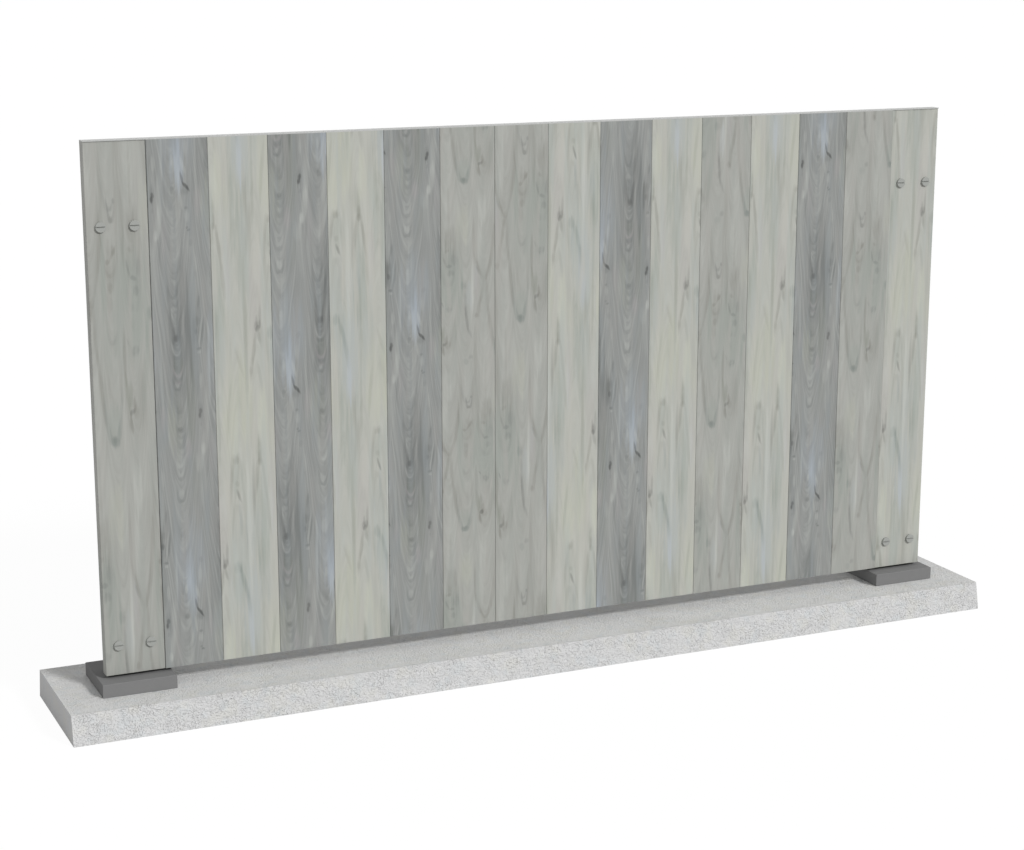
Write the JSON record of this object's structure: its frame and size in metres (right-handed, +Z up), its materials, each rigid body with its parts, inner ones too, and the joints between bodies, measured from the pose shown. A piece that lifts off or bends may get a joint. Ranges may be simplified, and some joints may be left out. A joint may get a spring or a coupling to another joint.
{
  "type": "privacy fence panel",
  "caption": "PVC privacy fence panel of upright wood-look boards on posts and rails, with square base plates on a free-standing concrete plinth.",
  "frame": {"origin": "middle of the plinth's underside, on the ground", "axes": "+X along the fence to the right, +Y to the back, +Z up; the boards face -Y"},
  "size_m": [2.196, 0.325, 1.196],
  "materials": {
    "board_pale": "printed cream-grey wood look, satin",
    "board_mid": "printed grey-green wood look, satin",
    "board_dark": "printed blue-grey wood look, satin",
    "trim_plastic": "light grey, satin",
    "screw_paint": "light grey paint, satin",
    "painted_steel": "mid grey paint, matt",
    "coated_aluminium": "mid grey powder coat, matt",
    "cap_plastic": "dark grey, matt",
    "concrete": "light grey, rough stucco"
  },
  "bodies": {
    "root": {"plinth": "concrete", "base_plate_left": "painted_steel", "base_plate_right": "painted_steel", "post_left": "coated_aluminium", "post_right": "coated_aluminium", "post_cap_left": "cap_plastic", "post_cap_right": "cap_plastic", "rail_lower": "coated_aluminium", "rail_upper": "coated_aluminium", "end_board_left": "board_mid", "board_02": "board_dark", "board_03": "board_pale", "board_04": "board_dark", "board_05": "board_pale", "board_06": "board_dark", "board_07": "board_mid", "board_08": "board_mid", "board_09": "board_pale", "board_10": "board_dark", "board_11": "board_pale", "board_12": "board_mid", "board_13": "board_pale", "board_14": "board_dark", "board_15": "board_mid", "end_board_right": "board_pale", "top_trim": "trim_plastic", "screw_left_lower_outer": "screw_paint", "screw_left_lower_inner": "screw_paint", "screw_left_upper_outer": "screw_paint", "screw_left_upper_inner": "screw_paint", "screw_right_lower_inner": "screw_paint", "screw_right_lower_outer": "screw_paint", "screw_right_upper_inner": "screw_paint", "screw_right_upper_outer": "screw_paint"}
  },
  "joints": []
}
